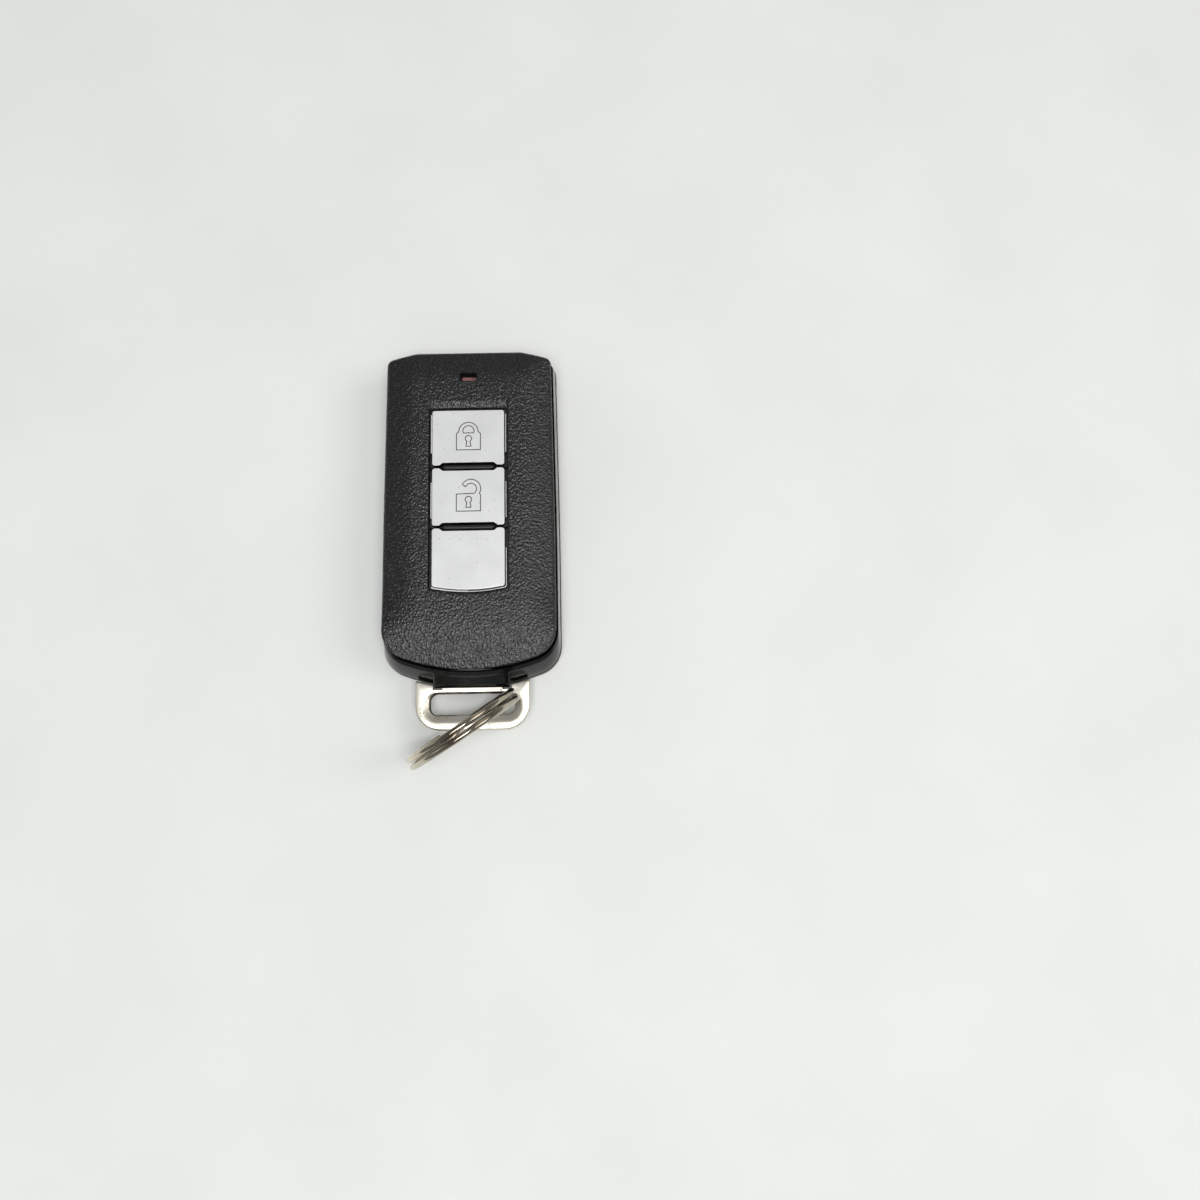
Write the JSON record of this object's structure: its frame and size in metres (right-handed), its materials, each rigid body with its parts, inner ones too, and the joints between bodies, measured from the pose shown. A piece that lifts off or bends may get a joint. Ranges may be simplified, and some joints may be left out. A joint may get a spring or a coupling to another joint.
{
  "type": "car key fob",
  "caption": "Smart car key fob: grained shell on a glossy band, padlock push keys over a rubber keypad, sliding emergency key with a loop, and a split ring.",
  "frame": {"origin": "middle of the flat back, on which the fob lies", "axes": "+Y along the length towards the indicator end, +Z out of the button face, +X to the right seen from the front"},
  "size_m": [0.0358, 0.085, 0.0252],
  "materials": {
    "cover_plastic": "black, fine leather-like grain",
    "frame_plastic": "piano black gloss",
    "rear_plastic": "black, fine spark texture",
    "seal_rubber": "matt",
    "lens_plastic": "dark red light pipe",
    "key_paint": "satin silver paint",
    "membrane_rubber": "matt silicone",
    "plunger_plastic": "moulded",
    "switch_steel": "tinned",
    "board_laminate": "green solder mask",
    "led_body": "moulded",
    "chip_plastic": "moulded",
    "crystal_can": "bright",
    "ferrite": "sintered",
    "copper_wire": "enamelled copper",
    "passive_ceramic": "fired ceramic",
    "cell_can": "nickel plated can",
    "contact_brass": "tinned",
    "head_nickel": "bright nickel plate, worn",
    "blade_steel": "nickel plate",
    "pin_steel": "ground",
    "latch_plastic": "moulded",
    "spring_steel": "rolled",
    "ring_nickel": "bright nickel plate, worn"
  },
  "bodies": {
    "case": {"front_cover": "cover_plastic", "side_frame": "frame_plastic", "rear_cover": "rear_plastic", "case_seal": "seal_rubber", "led_lens": "lens_plastic", "keypad_membrane": "membrane_rubber", "circuit_board": "board_laminate", "tact_switches": "switch_steel", "status_led": "led_body", "microcontroller": "chip_plastic", "radio_chip": "chip_plastic", "transponder_chip": "chip_plastic", "crystal": "crystal_can", "wake_antenna_core": "ferrite", "wake_antenna_winding": "copper_wire", "passives": "passive_ceramic", "coin_cell": "cell_can", "battery_clip": "contact_brass", "battery_spring": "contact_brass", "latch_spring": "spring_steel"},
    "lock_key": {"lock_button": "key_paint", "lock_plunger": "plunger_plastic"},
    "unlock_key": {"unlock_button": "key_paint", "unlock_plunger": "plunger_plastic"},
    "tailgate_key": {"tailgate_button": "key_paint", "tailgate_plunger": "plunger_plastic"},
    "latch": {"latch_slider": "latch_plastic"},
    "emergency_key": {"key_head": "head_nickel", "key_blade": "blade_steel", "key_pin": "pin_steel"},
    "ring": {"split_ring": "ring_nickel"}
  },
  "joints": [
    {"name": "lock_press", "type": "slide", "parent": "case", "child": "lock_key", "axis": [0, 0, -1], "range_m": [0, 0.0004], "stiffness_N_per_m": 1500, "deforming": ["keypad_membrane"]},
    {"name": "unlock_press", "type": "slide", "parent": "case", "child": "unlock_key", "axis": [0, 0, -1], "range_m": [0, 0.0004], "stiffness_N_per_m": 1500, "deforming": ["keypad_membrane"]},
    {"name": "tailgate_press", "type": "slide", "parent": "case", "child": "tailgate_key", "axis": [0, 0, -1], "range_m": [0, 0.0004], "stiffness_N_per_m": 1500, "deforming": ["keypad_membrane"]},
    {"name": "latch_slide", "type": "slide", "parent": "case", "child": "latch", "axis": [1, 0, 0], "range_m": [0, 0.0016], "stiffness_N_per_m": 600, "deforming": ["latch_spring"]},
    {"name": "key_slide", "type": "slide", "parent": "case", "child": "emergency_key", "axis": [0, -1, 0], "range_m": [0, 0.046], "deforming": ["latch_spring"]},
    {"name": "ring_swing", "type": "hinge", "parent": "emergency_key", "child": "ring", "pos_m": [0, -0.0412, 0.0044], "axis": [1, 0, 0], "range_deg": [0, 90]}
  ]
}
